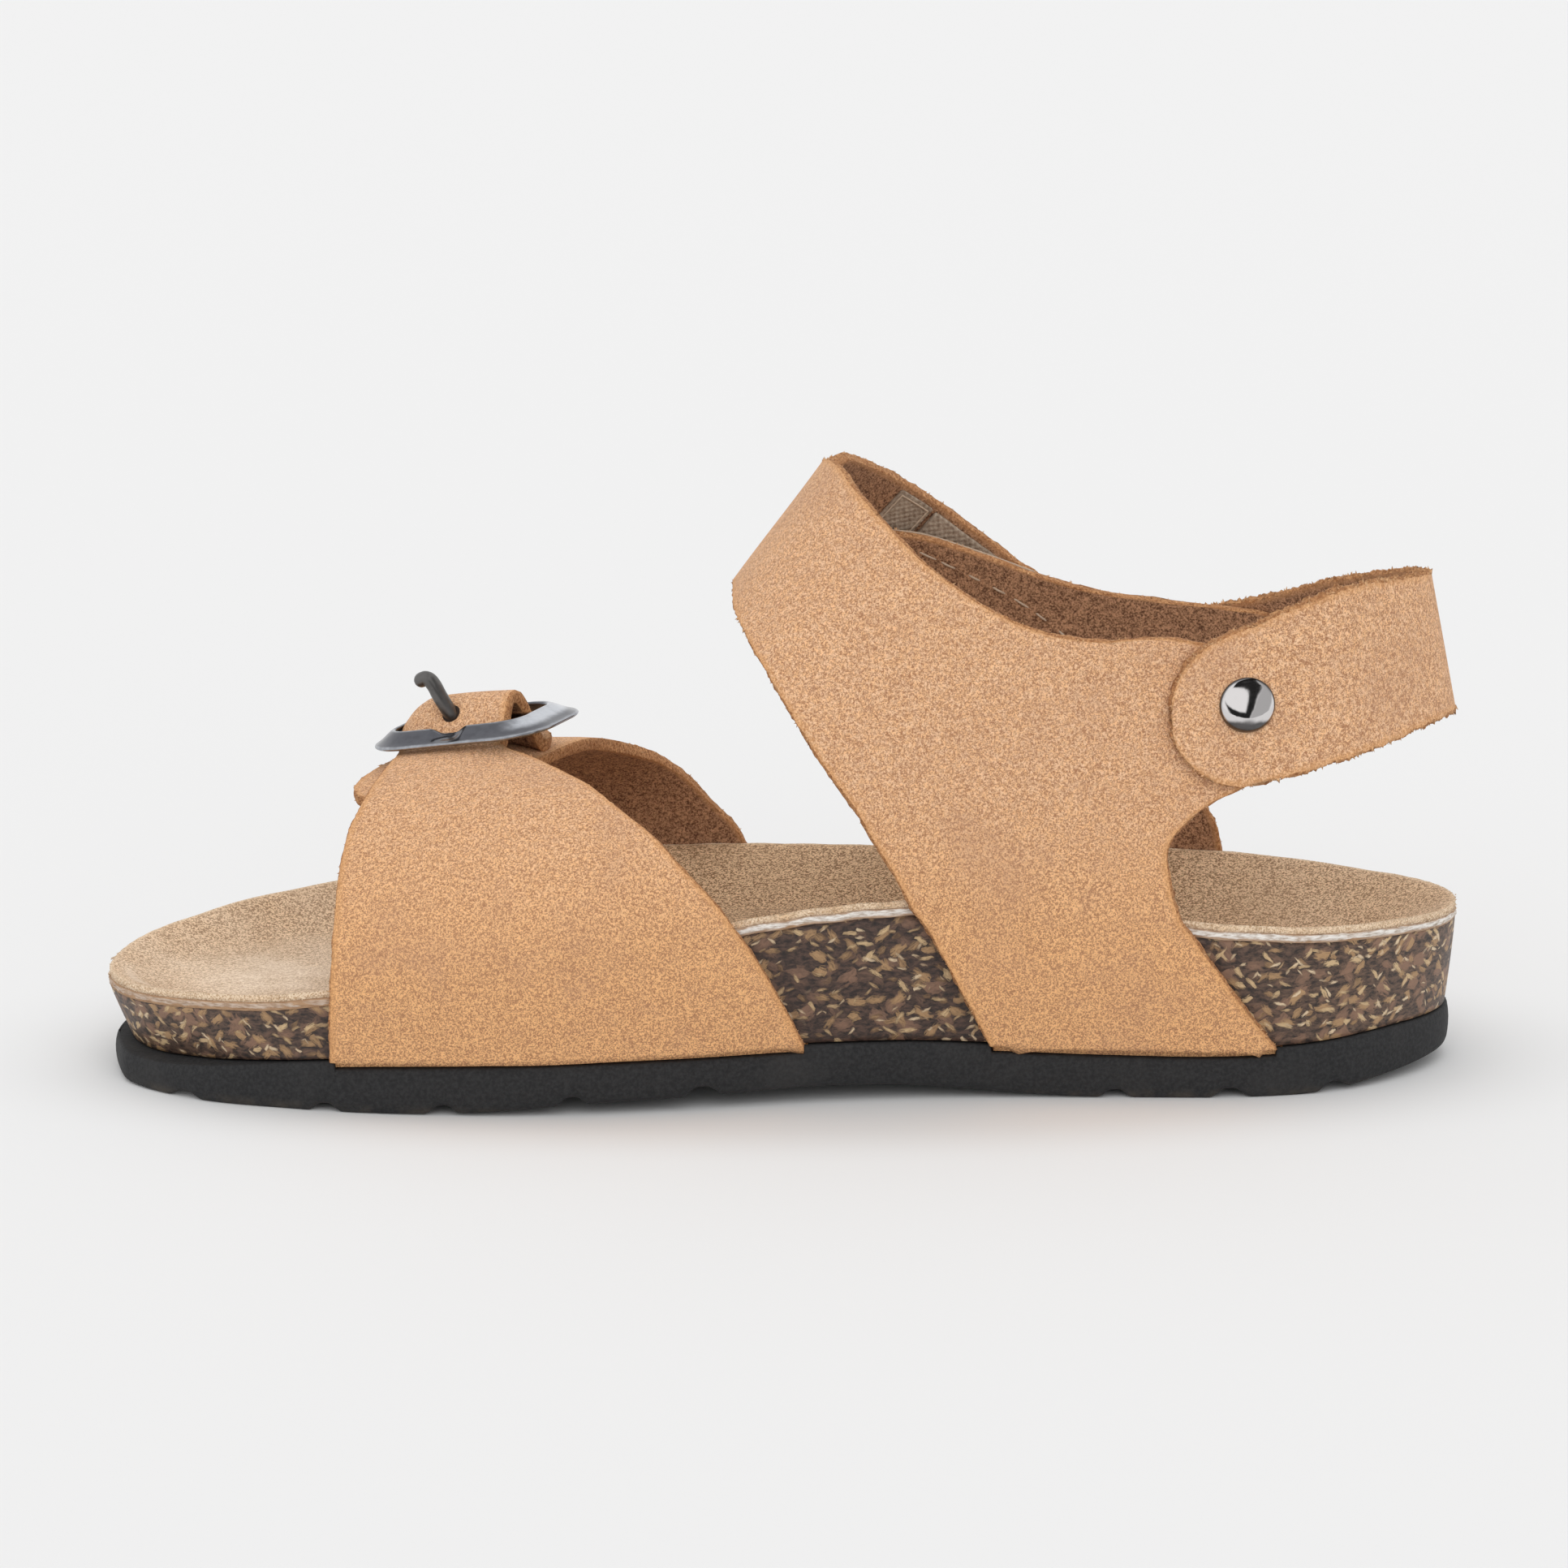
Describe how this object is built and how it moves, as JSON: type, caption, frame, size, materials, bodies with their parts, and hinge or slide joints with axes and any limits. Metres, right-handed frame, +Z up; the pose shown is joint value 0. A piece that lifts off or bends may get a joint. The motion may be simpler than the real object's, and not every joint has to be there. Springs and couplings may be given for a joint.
{
  "type": "back-strap sandal",
  "caption": "Child's right sandal: dished cork footbed on a grooved flat sole, buckled toe strap, instep strap closed by hook tape and a riveted heel strap.",
  "frame": {"origin": "centre of the bounding box's base, on the floor", "axes": "+X from toe to heel, +Y from the inner to the outer side of the foot, +Z up"},
  "size_m": [0.19, 0.0773, 0.0863],
  "materials": {
    "eva": "matte foam",
    "cork": "pressed cork, bare",
    "jute": "woven, cut edge",
    "suede": "suede",
    "nubuck": "nubuck, short nap",
    "hook_tape": "hook tape",
    "gunmetal": "dark polished plating"
  },
  "bodies": {
    "root": {"outsole": "eva", "cork_footbed": "cork", "jute_layer": "jute", "insole": "suede", "toe_strap": "nubuck", "ankle_strap": "nubuck", "hook_patch": "hook_tape", "buckle_frame": "gunmetal", "buckle_prong": "gunmetal", "rivet_medial": "gunmetal", "rivet_lateral": "gunmetal"}
  },
  "joints": []
}
